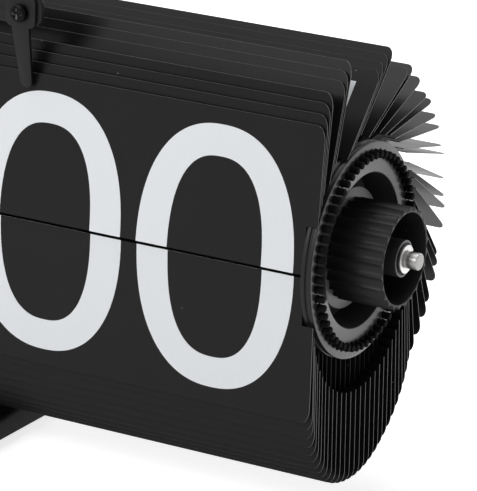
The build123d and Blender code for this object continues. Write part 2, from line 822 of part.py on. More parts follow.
# Every piece by its name
def build():
    nodes = {
        "base_plate": base_plate(),
        "base_pad": base_pad(),
        "base_screws": [plane * flat_screw(base_thickness + column_wall) for plane in base_screw_planes()],
        "column_front_shell": column_front_shell(),
        "column_rear_cover": column_rear_cover(),
        "column_screws": [plane * flat_screw(column_wall + panel_gap + tongue_thickness)
                          for plane in tongue_screw_planes()],
        "battery_tray": battery_tray(),
        "battery_cells": battery_cells(),
        "battery_contacts": battery_contacts(),
        "battery_cover": battery_cover(),
        "circuit_board": circuit_board(),
        "motor_body": motor_body(),
        "motor_pinion": motor_pinion(),
        "idler_pin": idler_pin(),
        "idler_gear": idler_gear(),
        "axle": on_axle(axle()),
        "axle_clips": [on_axle(axle_clip()), on_axle(mirrored(axle_clip()))],
        "catch_bracket": catch_bracket(),
        "bracket_screws": [plane * pan_screw(bracket_thickness + column_wall)
                           for plane in bracket_screw_planes()],
        "minute_catch_finger": catch_finger(),
        "hour_catch_finger": mirrored(catch_finger()),
        "finger_screws": [plane * pan_screw(bracket_thickness) for plane in finger_screw_planes()],
        "minute_drive_wheel": on_axle(gear(second_module, large_teeth, drive_wheel_x, drive_wheel_end,
                                           sleeve_radius, motor_angle)),
        "minute_pinion": on_axle(gear(first_module, small_teeth, pinion_x, drive_wheel_x,
                                      bore_radius, idler_angle)),
        "hour_wheel": on_axle(gear(second_module, large_teeth, hour_wheel_x, hour_wheel_end,
                                   sleeve_radius, idler_angle)),
    }
    bush = on_axle(tube(bush_x, bush_end_x, bush_radius, sleeve_radius + turning_gap))
    drum = {
        "outer_disc": outer_disc(),
        "drum_core": drum_core(),
        "friction_flange": tube(flange_x - flange_thickness, flange_x, flange_radius, bore_radius),
        "setting_knob": knob(),
        "knob_bush": tube(knob_floor_x, knob_bush_x, knob_bush_radius, bore_radius),
    }
    pegs = index_pegs()
    packs = flap_packs()
    for side, turned in (("minute", on_axle), ("hour", lambda shape: on_axle(mirrored(shape)))):
        for name, shape in drum.items():
            nodes[side + "_" + name] = turned(shape)
        nodes[side + "_index_pegs"] = [turned(peg) for peg in pegs]
        for name, sheets in packs.items():
            nodes[side + "_" + name] = [turned(sheet) for sheet in sheets]
    nodes["minute_inner_disc"] = on_axle(inner_disc(drive_wheel_x))
    nodes["hour_inner_disc"] = on_axle(mirrored(inner_disc(-hour_wheel_end)))
    nodes["minute_bush"] = bush
    nodes["hour_bush"] = mirrored(bush)
    upper, lower = numeral_halves(nought(), nought())
    nodes["minute_upper_numerals"] = on_axle(upper)
    nodes["minute_lower_numerals"] = on_axle(lower)
    upper, lower = numeral_halves(one(), nought())
    hour_shift = Pos(-2 * flap_middle, 0, 0)
    nodes["hour_upper_numerals"] = on_axle(hour_shift * upper)
    nodes["hour_lower_numerals"] = on_axle(hour_shift * lower)
    return nodes


def solids_of(shape):
    """The separate solids of a piece, whether it came as one shape or as a list."""
    if isinstance(shape, list):
        found = []
        for piece in shape:
            found += list(piece.solids())
        return found
    return list(shape.solids())


os.makedirs("parts", exist_ok=True)
for node, shape in build().items():
    solids = solids_of(shape)
    piece = solids[0] if len(solids) == 1 else Compound(children=solids)
    piece.label = node
    export_step(piece, os.path.join("parts", node + ".step"))
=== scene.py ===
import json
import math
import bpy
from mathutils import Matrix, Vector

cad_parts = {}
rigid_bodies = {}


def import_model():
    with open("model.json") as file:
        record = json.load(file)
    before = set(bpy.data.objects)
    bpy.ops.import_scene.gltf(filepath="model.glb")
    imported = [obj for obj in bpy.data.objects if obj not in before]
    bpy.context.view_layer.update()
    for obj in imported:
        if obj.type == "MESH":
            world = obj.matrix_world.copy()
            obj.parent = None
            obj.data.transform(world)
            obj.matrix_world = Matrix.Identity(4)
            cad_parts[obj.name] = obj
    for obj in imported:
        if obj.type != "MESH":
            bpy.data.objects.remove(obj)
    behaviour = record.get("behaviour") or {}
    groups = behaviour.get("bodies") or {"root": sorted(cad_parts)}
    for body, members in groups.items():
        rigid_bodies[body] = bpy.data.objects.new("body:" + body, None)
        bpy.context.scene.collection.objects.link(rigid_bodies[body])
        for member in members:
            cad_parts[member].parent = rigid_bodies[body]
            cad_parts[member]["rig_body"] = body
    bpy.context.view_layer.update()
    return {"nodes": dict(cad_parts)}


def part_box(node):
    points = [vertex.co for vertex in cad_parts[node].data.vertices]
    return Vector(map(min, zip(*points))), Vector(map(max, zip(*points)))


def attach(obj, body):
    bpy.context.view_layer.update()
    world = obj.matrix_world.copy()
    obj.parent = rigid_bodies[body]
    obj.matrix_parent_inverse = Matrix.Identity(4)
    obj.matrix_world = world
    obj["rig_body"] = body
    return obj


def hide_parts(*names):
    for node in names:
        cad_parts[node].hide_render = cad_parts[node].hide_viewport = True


bl_info = {
    "name": "Flip clock looks",
    "version": (1, 0, 0),
    "blender": (4, 5, 0),
    "location": "View3D > Sidebar > Flip clock",
    "description": "Models and finishes a table flip clock around its packed frame",
    "category": "Object",
}

import bmesh
import bpy
from bpy.props import FloatProperty, FloatVectorProperty, IntProperty, PointerProperty
from mathutils import Matrix, Vector

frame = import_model()

# Places that come from the frame
axle_low, axle_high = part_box("axle")
axle_height = (axle_low.z + axle_high.z) / 2
axle_middle = Vector((0, 0, axle_height))
axle_radius = (axle_high.z - axle_low.z) / 2
disc_low, disc_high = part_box("minute_outer_disc")
flap_low, flap_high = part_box("minute_front_upper_flap")
flap_middle = (flap_low.x + flap_high.x) / 2
knob_low, knob_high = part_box("minute_setting_knob")
bush_low, bush_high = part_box("minute_knob_bush")
flange_low, flange_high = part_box("minute_friction_flange")
peg_low, peg_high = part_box("minute_index_pegs")
clip_low, clip_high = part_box("axle_clips")
screw_low, screw_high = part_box("finger_screws")

SIDES = ("minute", "hour")

# Points closer than the first are merged, and a place within the second is taken as met
MERGE_DISTANCE = 0.000002
SLACK = 0.00002

# Limits that tell faces and edges apart: a rim's and a recess wall's normal, and a turn in radians
RIM_TILT = 0.5
WALL_TILT = 0.3
SHARP_TURN = 0.5

# Sides of a round piece, from the widest to the thinnest
WIDE_SIDES, RING_SIDES, SMALL_SIDES, BAR_SIDES, PEG_SIDES = 120, 96, 64, 48, 16


# Settings
def length_prop(name, description, default):
    return FloatProperty(name=name, description=description, default=default, unit="LENGTH")


def value_prop(name, description, default):
    return FloatProperty(name=name, description=description, default=default)


def count_prop(name, description, default):
    return IntProperty(name=name, description=description, default=default)


def place_prop(name, description, default):
    return FloatVectorProperty(name=name, description=description, default=default,
                               subtype="XYZ", unit="LENGTH")


def direction_prop(name, description, default):
    return FloatVectorProperty(name=name, description=description, default=default, subtype="XYZ")


def colour_prop(name, description, default):
    return FloatVectorProperty(name=name, description=description, default=default, subtype="COLOR")


class FlapSizes(bpy.types.PropertyGroup):
    """Sizes of one flap and the way the flaps stand."""
    width: length_prop("Width", "Width of a flap past the discs", flap_high.x - flap_low.x)
    reach: length_prop("Reach", "From a flap's pivot to its tip", 0.0504)
    lead: length_prop("Lead", "Strip of a flap before its pivot", 0.0011818)
    thickness: length_prop("Thickness", "Thickness of the sheet", 0.00025)
    # The rounded faces of this edge carry the flaps' painted highlight.
    edge: length_prop("Edge", "Worn edge of the sheet", 0.00005)
    tip_radius: length_prop("Tip radius", "Rounding of the two tip corners", 0.0055)
    side_cut: length_prop("Side cut", "How much narrower a flap is between the discs, each side", 0.0043)
    side_cut_height: length_prop("Side cut height", "How far the narrow part goes past the pivot", 0.015676)
    ear_reach: length_prop("Ear reach", "How far the ears stand out of the narrow part", 0.001)
    ear_height: length_prop("Ear height", "Height of the ears", 0.0012)
    pivot_radius: length_prop("Pivot circle", "Radius of the circle of pivots", 0.035)
    front_play: length_prop("Front play", "How far each of the first flaps stands forward", 0.00035)
    front_play_count: count_prop("Forward flaps", "How many flaps stand forward", 2)
    count: count_prop("Flaps", "Flaps on one drum", 60)
    phase: FloatProperty(name="Phase", description="Turn of the pivots from the front", subtype="ANGLE",
                         default=math.radians(-0.9))


class PrintSizes(bpy.types.PropertyGroup):
    """Sizes of the numerals printed on the flaps of the packs."""
    digit_width: length_prop("Digit width", "Width of a nought", 0.0614)
    split_gap: length_prop("Split gap", "Bare strip between the halves of a numeral", 0.0013)
    bar: length_prop("Bar", "Height of the seven's top bar", 0.011)
    stem: length_prop("Stem", "Half the width of the seven's stem", 0.007)
    ink: length_prop("Ink", "Thickness of the print", 0.00004)
    weight: value_prop("Weight", "Thickening of the digits' strokes, as a share of their size", 0.02)
    printed: count_prop("Printed flaps", "Flaps whose print can be seen", 32)
    hour_flaps: count_prop("Flaps per hour", "How many flaps carry the same hour", 5)


class DrumSizes(bpy.types.PropertyGroup):
    """Sizes of the turned pieces of a drum that the frame's boxes do not give."""
    rim_radius: length_prop("Rim radius", "Outside of the discs", (disc_high.z - disc_low.z) / 2)
    rim_width: length_prop("Rim width", "Width of a disc's rim", 0.004)
    groove_width: length_prop("Groove width", "Groove round the rim", 0.0008)
    groove_depth: length_prop("Groove depth", "Depth of that groove", 0.0006)
    ear_groove_low: length_prop("Ear groove inside", "Inner radius of the ears' groove", 0.0341)
    ear_groove_high: length_prop("Ear groove outside", "Outer radius of the ears' groove", 0.0366)
    ear_groove_depth: length_prop("Ear groove depth", "Depth of the ears' groove", 0.001)
    well_radius: length_prop("Well radius", "Inside of the well", 0.0272)
    well_wall: length_prop("Well wall", "Wall of the well", 0.002)
    well_depth: length_prop("Well depth", "Depth of the well", 0.012)
    hub_radius: length_prop("Hub radius", "Hub behind the flange", 0.010)
    bore: length_prop("Bore", "Bore on the axle", 0.00305)
    edge: length_prop("Edge", "Rounding of turned edges", 0.0003)
    peg_radius: length_prop("Peg radius", "Radius of an index peg", 0.0013)
    peg_round: length_prop("Peg rounding", "Rounding of a peg's end", 0.0004)
    peg_inset: length_prop("Peg inset", "From the rim to the pegs' circle", 0.0042)
    pocket_gap: length_prop("Pocket gap", "Room round a peg in its pocket", 0.0001)
    pocket_play: length_prop("Pocket play", "Length of a pocket past its peg", 0.0007)
    pocket_depth: length_prop("Pocket depth", "Depth of a pocket", 0.0018)


class KnobSizes(bpy.types.PropertyGroup):
    """Sizes of the fluted setting knob, its flange and the bush in its cup."""
    cup_radius: length_prop("Cup radius", "Inside of the cup", 0.0161)
    floor: length_prop("Floor", "Thickness of the cup's floor", 0.003)
    flutes: count_prop("Flutes", "Flutes round the knob", 24)
    flute_sides: count_prop("Flute sides", "Flat sides that make up one flute", 8)
    flute_radius: length_prop("Flute radius", "Hollow of a flute", 0.0026)
    flute_depth: length_prop("Flute depth", "Depth of a flute", 0.0013)
    edge: length_prop("Edge", "Rounding of the rim", 0.00025)
    flange_edge: length_prop("Flange edge", "Rounding of the flange", 0.0004)
    lip: length_prop("Bush lip", "Width of the raised lip on the bush's end", 0.0008)
    lip_height: length_prop("Lip height", "How far the lip stands up", 0.0005)
    bush_edge: length_prop("Bush edge", "Rounding of the bush", 0.00015)


class AxleSizes(bpy.types.PropertyGroup):
    """Sizes of the axle and its spring clips."""
    clip_thickness: length_prop("Clip thickness", "Sheet of the spring clip", 0.0008)
    clip_play: length_prop("Clip play", "Free width of the clip's groove", 0.0004)
    clip_mouth: length_prop("Clip mouth", "Opening of the clip", 0.0036)
    clip_edge: length_prop("Clip edge", "Rounding of the clip", 0.00012)
    groove_depth: length_prop("Clip groove", "Depth of the clip's groove in the axle", 0.0005)
    edge: length_prop("Axle edge", "Rounding of the axle's ends", 0.0005)


class StandSizes(bpy.types.PropertyGroup):
    """Edges of the stand's pieces and the cross recess in the finger screws' heads."""
    shell_edge: length_prop("Shell edge", "Rounding of the column, its covers and the foot", 0.0004)
    catch_edge: length_prop("Catch edge", "Rounding of the bracket, the fingers and the pad", 0.0003)
    screw_edge: length_prop("Screw edge", "Rounding of the screws", 0.00012)
    cross_length: length_prop("Cross", "From the middle of a recess to the end of an arm", 0.0020)
    cross_depth: length_prop("Cross depth", "Depth of a recess", 0.0011)


class Finishes(bpy.types.PropertyGroup):
    """Main colours, as linear values."""
    flap: colour_prop("Flap sheet", "Black sheet of the flaps", (0.0120, 0.0112, 0.0113))
    # Pale colour of the flaps' cut edges: a painted highlight along the edges of the black sheet.
    flap_edge: colour_prop("Flap edge", "Cut edge of the sheet", (0.20, 0.195, 0.192))
    print: colour_prop("Print", "White print of the numerals", (0.785, 0.805, 0.83))
    disc: colour_prop("Disc", "Grey of the drum's discs", (0.0345, 0.0325, 0.0325))
    black: colour_prop("Black plastic", "Moulded black", (0.0155, 0.0148, 0.0150))
    flange: colour_prop("Flange", "Grey of the friction flange", (0.112, 0.105, 0.106))
    coat: colour_prop("Powder coat", "Black coat of column and foot", (0.008, 0.0078, 0.0080))
    steel: colour_prop("Steel", "Bright turned steel", (0.68, 0.67, 0.66))
    brass: colour_prop("Brass", "Turned brass", (0.72, 0.50, 0.20))
    acetal: colour_prop("Acetal", "Natural gear plastic", (0.72, 0.71, 0.66))
    rubber: colour_prop("Rubber", "Pad of the foot", (0.02, 0.02, 0.02))
    board: colour_prop("Board", "Coated circuit board", (0.03, 0.16, 0.06))
    jacket: colour_prop("Cell jacket", "Plain jacket of the cells", (0.30, 0.31, 0.33))
    dust: colour_prop("Dust", "Specks of dust on the dark pieces", (0.22, 0.215, 0.20))
    floor: colour_prop("Floor", "Pale floor", (0.85, 0.85, 0.85))


class StageSettings(bpy.types.PropertyGroup):
    """Camera and light."""
    eye: place_prop("Camera place", "Where the camera stands", (0.689365, -1.057190, 0.485536))
    right: direction_prop("Camera right", "Direction to the picture's right", (0.87166, 0.48900, 0.03311))
    up: direction_prop("Camera up", "Direction to the picture's top", (-0.17993, 0.25643, 0.94967))
    lens: value_prop("Lens", "Focal length in millimetres", 274.04)
    sensor: value_prop("Sensor", "Width of the sensor in millimetres", 36.0)
    floor_size: length_prop("Floor", "Side of the floor", 40.0)
    floor_glow: value_prop("Floor glow", "Light that the floor shows to the camera", 0.75)
    world_light: value_prop("World light", "Soft light from all round", 0.12)
    top_place: place_prop("Top panel place", "Where the large panel hangs", (-0.5, 0.25, 1.5))
    top_size: length_prop("Top panel size", "Side of the large panel", 1.6)
    top_power: value_prop("Top panel", "Power of the large panel, in watts", 20.0)
    front_place: place_prop("Front panel place", "Where the front panel stands", (-0.45, -1.3, 0.9))
    front_size: length_prop("Front panel size", "Side of the front panel", 0.6)
    front_power: value_prop("Front panel", "Power of the front panel, in watts", 14.0)
    back_place: place_prop("Back panel place", "Where the back panel stands", (0.7, 1.5, 0.8))
    back_size: length_prop("Back panel size", "Side of the back panel", 1.0)
    back_power: value_prop("Back panel", "Power of the back panel, in watts", 4.0)


# Selecting and editing
def choose(obj):
    """Leaves only this object selected and active."""
    if bpy.context.object and bpy.context.object.mode != "OBJECT":
        bpy.ops.object.mode_set(mode="OBJECT")
    bpy.ops.object.select_all(action="DESELECT")
    if obj:
        obj.select_set(True)
    bpy.context.view_layer.objects.active = obj


def start_edit(obj):
    """Edit mode with the whole mesh selected."""
    choose(obj)
    bpy.ops.object.mode_set(mode="EDIT")
    bpy.ops.mesh.select_mode(type="VERT")
    take_all()


def end_edit():
    bpy.ops.object.mode_set(mode="OBJECT")


def take_all():
    bpy.ops.mesh.select_all(action="SELECT")


def pick(obj, kind, wanted):
    """Selects the vertices, edges or faces of the edited mesh that pass a test."""
    bpy.ops.mesh.select_mode(type=kind)
    bpy.ops.mesh.select_all(action="DESELECT")
    mesh = bmesh.from_edit_mesh(obj.data)
    items = {"VERT": mesh.verts, "EDGE": mesh.edges, "FACE": mesh.faces}[kind]
    for item in items:
        if wanted(item):
            item.select_set(True)
    mesh.select_flush_mode()
    bmesh.update_edit_mesh(obj.data)


def near(value, target):
    return abs(value - target) < SLACK


def lies_at(edge, along):
    """True where both ends of an edge are at this place along the axle."""
    return all(near(vert.co.x, along) for vert in edge.verts)


def add_modifier(obj, kind, **values):
    """Adds a modifier, sets it and applies it."""
    modifier = obj.modifiers.new(kind.title(), kind)
    for key, value in values.items():
        setattr(modifier, key, value)
    choose(obj)
    bpy.ops.object.modifier_apply(modifier=modifier.name)


def round_edges(obj, width, segments=2, degrees=35, **values):
    """Bevels the edges that turn by more than an angle."""
    add_modifier(obj, "BEVEL", width=width, segments=segments, limit_method="ANGLE",
                 angle_limit=math.radians(degrees), use_clamp_overlap=True, **values)


def smooth(obj, degrees=32):
    choose(obj)
    bpy.ops.object.shade_smooth_by_angle(angle=math.radians(degrees))


def place_in_mesh():
    """Moves the new object's place, turn and scale into its mesh."""
    bpy.ops.object.transform_apply(location=True, rotation=True, scale=True)
    return bpy.context.object


def copy_of(obj, name):
    """A copy with its own mesh."""
    other = obj.copy()
    other.data = obj.data.copy()
    other.name = name
    other.data.name = name
    bpy.context.scene.collection.objects.link(other)
    return other


def mirrored_copy(obj, name):
    """The hour side's twin of a minute-side piece."""
    other = copy_of(obj, name)
    start_edit(other)
    bpy.ops.transform.resize(value=(-1, 1, 1), center_override=(0, 0, 0))
    bpy.ops.mesh.flip_normals()
    end_edit()
    return other


def joined(pieces, name):
    """One object made of several."""
    choose(pieces[0])
    for piece in pieces[1:]:
        piece.select_set(True)
    if len(pieces) > 1:
        bpy.ops.object.join()
    pieces[0].name = name
    pieces[0].data.name = name
    return pieces[0]


def set_finish(obj, *finishes):
    """Puts materials on a new piece in slot order."""
    obj.data.materials.clear()
    for finish in finishes:
        obj.data.materials.append(finish)


def mark_faces(obj, slot, wanted):
    """Gives the faces that pass a test the material in a slot."""
    for face in obj.data.polygons:
        if wanted(face):
            face.material_index = slot


def dress(obj, width, *finishes):
    """Rounds a piece's edges, smooths it and puts its materials on."""
    round_edges(obj, width)
    smooth(obj)
    set_finish(obj, *finishes)


def paint_nodes(finish, *nodes):
    """Gives CAD nodes a better material."""
    for node in nodes:
        obj = frame["nodes"][node]
        if not obj.material_slots:
            obj.data.materials.append(finish)
        for slot in obj.material_slots:
            slot.material = finish


def show(obj, node):
    """Declares a new piece that stands for a CAD node."""
    if not obj.data.polygons:
        raise RuntimeError("the piece for " + node + " has no faces")
    choose(obj)
    place_in_mesh()
    obj.name = node + "_shown"
    obj.data.name = obj.name
    body = frame["nodes"][node]["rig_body"]
    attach(obj, body)
    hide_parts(node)


def show_both(obj, name):
    """Declares a minute-side piece and its mirrored twin on the hour side."""
    twin = mirrored_copy(obj, "hour_" + name)
    show(obj, "minute_" + name)
    show(twin, "hour_" + name)


def show_softened(node, width, slot, *finishes):
    """Declares a copy of a CAD node with its edges rounded."""
    obj = copy_of(frame["nodes"][node], node + "_copy")
    obj.parent = None
    for key in list(obj.keys()):
        del obj[key]
    start_edit(obj)
    bpy.ops.mesh.remove_doubles(threshold=MERGE_DISTANCE)
    bpy.ops.mesh.dissolve_limited(angle_limit=math.radians(1))
    end_edit()
    dress(obj, width, *finishes)
    show(obj, node)
    return obj


def new_plane(name, size=1):
    """A flat square about the origin, with nothing else selected."""
    choose(None)
    bpy.ops.mesh.primitive_plane_add(size=size)
    bpy.context.object.name = name
    return bpy.context.object


def drawn_line(name, points):
    """A new mesh of straight edges from point to point, left in edit mode with all of it selected."""
    obj = new_plane(name)
    start_edit(obj)
    bpy.ops.mesh.merge(type="CENTER")
    bpy.ops.transform.translate(value=points[0])
    for before, after in zip(points, points[1:]):
        move = tuple(end - start for start, end in zip(before, after))
        bpy.ops.mesh.extrude_vertices_move(TRANSFORM_OT_translate={"value": move})
    take_all()
    return obj


def turned(name, outline, sides):
    """A closed outline of (along the axle, radius) points, spun about the axle's line."""
    closed = (*outline, outline[0])
    obj = drawn_line(name, [(along, 0, axle_height + radius) for along, radius in closed])
    bpy.ops.mesh.remove_doubles(threshold=MERGE_DISTANCE)
    take_all()
    bpy.ops.mesh.spin(steps=sides, angle=math.tau, center=axle_middle, axis=(1, 0, 0))
    take_all()
    bpy.ops.mesh.remove_doubles(threshold=MERGE_DISTANCE)
    bpy.ops.mesh.normals_make_consistent(inside=False)
    end_edit()
    return obj


def round_bar(name, low, high, radius, sides, rise=0):
    """Cylinder along the axle's line or some way above it."""
    choose(None)
    middle = ((low + high) / 2, 0, axle_height + rise)
    bpy.ops.mesh.primitive_cylinder_add(vertices=sides, radius=radius, depth=high - low, location=middle,
                                        rotation=(0, math.pi / 2, 0))
    bpy.context.object.name = name
    return place_in_mesh()


def cut_by(obj, cutter):
    """Takes one closed mesh out of another and removes the cutter."""
    add_modifier(obj, "BOOLEAN", object=cutter, operation="DIFFERENCE", solver="EXACT")
    bpy.data.objects.remove(cutter)


def round_about_axle(obj, flaps, name):
    """Copies of a piece, one for each flap's pivot round the axle, as one object."""
    centre = Matrix.Translation(axle_middle)
    copies = []
    for index in range(flaps.count):
        turn = Matrix.Rotation(pivot_angle(flaps, index), 4, "X")
        other = copy_of(obj, name + str(index))
        other.data.transform(centre @ turn @ centre.inverted())
        copies.append(other)
    bpy.data.objects.remove(obj)
    return joined(copies, name)


# Effects that several materials share, and the places of a mix node's sockets, whose names repeat
MIX_MASK, MIX_LOW, MIX_HIGH, MIX_RESULT = 0, 6, 7, 2


def fill(tree, node, inputs):
    """Links a node's inputs to the sockets given for them, and sets the others to their values."""
    for label, value in inputs.items():
        if isinstance(value, bpy.types.NodeSocket):
            tree.links.new(value, node.inputs[label])
        else:
            node.inputs[label].default_value = value


def add_node(tree, kind, inputs=None, operation=None):
    """Adds a shader node with its inputs, and gives its outputs."""
    node = tree.nodes.new("ShaderNode" + kind)
    if operation:
        node.operation = operation
    fill(tree, node, inputs or {})
    return node.outputs


def new_group(name, inputs, outputs):
    """Empty shader node group with named value sockets."""
    group = bpy.data.node_groups.new(name, "ShaderNodeTree")
    for label, value in inputs.items():
        socket = group.interface.new_socket(name=label, in_out="INPUT", socket_type="NodeSocketFloat")
        socket.default_value = value
    for label in outputs:
        group.interface.new_socket(name=label, in_out="OUTPUT", socket_type="NodeSocketFloat")
    return group, group.nodes.new("NodeGroupInput").outputs, group.nodes.new("NodeGroupOutput")


def moulded_grain():
    """Fine grain of a moulded or coated surface: a height and a slow mottle."""
    sizes = {"Grain size": 900.0, "Mottle size": 60.0}
    group, given, results = new_group("moulded_grain", sizes, ("Height", "Mottle"))
    place = add_node(group, "TexCoord")["Object"]
    grain = add_node(group, "TexNoise", {"Vector": place, "Scale": given["Grain size"], "Detail": 3.0})
    mottle = add_node(group, "TexNoise", {"Vector": place, "Scale": given["Mottle size"], "Detail": 4.0})
    fill(group, results, {"Height": grain[0], "Mottle": mottle[0]})
    return group


def dust_specks():
    """Sparse specks of dust: one small dot in some of the cells."""
    sizes = {"Cells per metre": 220.0, "Speck size": 0.05, "Share kept": 0.2}
    group, given, results = new_group("dust_specks", sizes, ("Mask",))
    place = add_node(group, "TexCoord")["Object"]
    cells = add_node(group, "TexVoronoi", {"Vector": place, "Scale": given["Cells per metre"]})
    lot = add_node(group, "SeparateColor", {0: cells["Color"]})
    inside = add_node(group, "Math", {0: cells["Distance"], 1: given["Speck size"]}, "LESS_THAN")
    kept = add_node(group, "Math", {0: lot[0], 1: given["Share kept"]}, "LESS_THAN")
    both = add_node(group, "Math", {0: inside[0], 1: kept[0]}, "MULTIPLY")
    fill(group, results, {"Mask": both[0]})
    return group


def turned_lines():
    """Fine rings left by turning about the axle's line."""
    group, given, results = new_group("turned_lines", {"Rings per metre": 2500.0}, ("Height",))
    place = add_node(group, "TexCoord")["Object"]
    centred = add_node(group, "Mapping", {"Vector": place, "Location": -axle_middle})
    parts = add_node(group, "SeparateXYZ", {0: centred[0]})
    across = add_node(group, "CombineXYZ", {"Y": parts["Y"], "Z": parts["Z"]})
    radius = add_node(group, "VectorMath", {0: across[0]}, "LENGTH")
    spot = add_node(group, "CombineXYZ", {"X": parts["X"], "Y": radius["Value"]})
    lines = add_node(group, "TexNoise", {"Vector": spot[0], "Scale": given["Rings per metre"], "Detail": 2.0})
    fill(group, results, {"Height": lines[0]})
    return group


def place_group(tree, maker, inputs):
    """Puts a shared effect into a material with its own values."""
    node = tree.nodes.new("ShaderNodeGroup")
    node.node_tree = bpy.data.node_groups.get(maker.__name__) or maker()
    fill(tree, node, inputs)
    return node.outputs


def spread(tree, source, low, high):
    """Maps a value from 0..1 to a range."""
    return add_node(tree, "MapRange", {"Value": source, "To Min": low, "To Max": high})["Result"]


def mixed_colour(tree, mask, low, high):
    """Colour between two, by a mask; the first can come from another node."""
    node = tree.nodes.new("ShaderNodeMix")
    node.data_type = "RGBA"
    if not isinstance(low, bpy.types.NodeSocket):
        low = (*low, 1)
    fill(tree, node, {MIX_MASK: mask, MIX_LOW: low, MIX_HIGH: (*high, 1)})
    return node.outputs[MIX_RESULT]


def bump(tree, height, depth):
    return add_node(tree, "Bump", {"Height": height, "Strength": 1.0, "Distance": depth})["Normal"]


def shade(colour, factor):
    return tuple(value * factor for value in colour)


def new_material(name):
    """A material with its node tree and its shader."""
    material = bpy.data.materials.new(name)
    material.use_nodes = True
    return material, material.node_tree, material.node_tree.nodes["Principled BSDF"]


def plastic(name, colour, rough, grain, depth, tone=1.0, specular=0.5, dust=0.0, mottle=0.12,
            rough_play=0.06):
    """Moulded, coated or sheet surface with grain, mottle and a little dust."""
    if name in bpy.data.materials:
        return bpy.data.materials[name]
    colours = bpy.context.scene.clock_finishes
    main = shade(getattr(colours, colour), tone)
    material, tree, shader = new_material(name)
    effect = place_group(tree, moulded_grain, {"Grain size": grain})
    surface = mixed_colour(tree, effect["Mottle"], shade(main, 1 - mottle), shade(main, 1 + mottle))
    if dust > 0:
        specks = place_group(tree, dust_specks, {"Share kept": dust})
        surface = mixed_colour(tree, specks["Mask"], surface, colours.dust)
    fill(tree, shader, {
        "Base Color": surface,
        "Roughness": spread(tree, effect["Mottle"], rough - rough_play, rough + rough_play),
        "Specular IOR Level": specular,
        "Normal": bump(tree, effect["Height"], depth),
    })
    return material


def metal(name, colour, rough, tone=1.0, grain=1400, depth=4e-6, tones=(0.7, 1.25), rough_play=(0.08, 0.1)):
    """Turned metal with fine rings."""
    if name in bpy.data.materials:
        return bpy.data.materials[name]
    main = shade(getattr(bpy.context.scene.clock_finishes, colour), tone)
    material, tree, shader = new_material(name)
    lines = place_group(tree, turned_lines, {})["Height"]
    mottle = place_group(tree, moulded_grain, {"Grain size": grain})["Mottle"]
    fill(tree, shader, {
        "Base Color": mixed_colour(tree, mottle, shade(main, tones[0]), shade(main, tones[1])),
        "Metallic": 1.0,
        "Roughness": spread(tree, lines, rough - rough_play[0], rough + rough_play[1]),
        "Normal": bump(tree, lines, depth),
    })
    return material


# Materials: depth is the height of the grain in metres, and tone darkens or lightens the main colour
def flap_sheet():
    return plastic("flap_sheet", "flap", rough=0.30, grain=1500, depth=6e-6, specular=0.10, dust=0.10)


# Side and tip edges of the flaps: painted highlights in the pale edge colour; the tip's is darker and dimmer.
def flap_side_edge():
    return plastic("flap_side_edge", "flap_edge", rough=0.35, grain=2500, depth=4e-6)


def flap_tip_edge():
    return plastic("flap_tip_edge", "flap_edge", tone=0.28, rough=0.4, grain=2500, depth=4e-6, specular=0.3)


def numeral_print():
    return plastic("numeral_print", "print", rough=0.55, grain=1200, depth=4e-6, specular=0.4, mottle=0.015)


def disc_grey_moulding():
    return plastic("disc_grey_moulding", "disc", rough=0.28, grain=1100, depth=8e-6, specular=0.6,
                   dust=0.06, mottle=0.08)


# Darker copy of the disc's grey for the outer side of the rim: painted shade on that side, with less sheen.
def disc_rim_moulding():
    return plastic("disc_rim_moulding", "disc", tone=0.25, rough=0.45, grain=1100, depth=8e-6, specular=0.2,
                   dust=0.06, mottle=0.08)


def black_moulding():
    return plastic("black_moulding", "black", tone=0.6, rough=0.45, grain=1200, depth=2e-5, specular=0.15,
                   dust=0.05)


def peg_moulding():
    return plastic("peg_moulding", "black", tone=0.3, rough=0.75, grain=1500, depth=1e-5, specular=0.06)


def knob_moulding():
    return plastic("knob_moulding", "black", tone=0.7, rough=0.40, grain=1200, depth=2e-5, specular=0.2,
                   dust=0.06)


# Black of the knob's bush, also put inside the outer disc's well as painted shade in that recess.
def bush_moulding():
    return plastic("bush_moulding", "black", tone=1.6, rough=0.45, grain=1200, depth=1e-5, specular=0.2)


def black_screw():
    return plastic("black_screw", "coat", tone=0.5, rough=0.22, grain=1600, depth=4e-6, specular=0.06)


def flange_moulding():
    return plastic("flange_moulding", "flange", rough=0.38, grain=1200, depth=1e-5)


def powder_coat():
    return plastic("powder_coat", "coat", rough=0.5, grain=1600, depth=4e-5, specular=0.09, dust=0.03)


def foot_rubber():
    return plastic("foot_rubber", "rubber", rough=0.8, grain=700, depth=5e-5, specular=0.25)


def gear_acetal():
    return plastic("gear_acetal", "acetal", rough=0.45, grain=900, depth=1e-5, mottle=0.04)


def board_coating():
    return plastic("board_coating", "board", rough=0.3, grain=500, depth=1e-5)


def cell_jacket():
    return plastic("cell_jacket", "jacket", rough=0.35, grain=600, depth=5e-6, mottle=0.05)


def turned_steel():
    return metal("turned_steel", "steel", rough=0.32)


def turned_axle():
    return metal("turned_axle", "steel", tone=0.5, rough=0.32)


def turned_brass():
    return metal("turned_brass", "brass", rough=0.28)


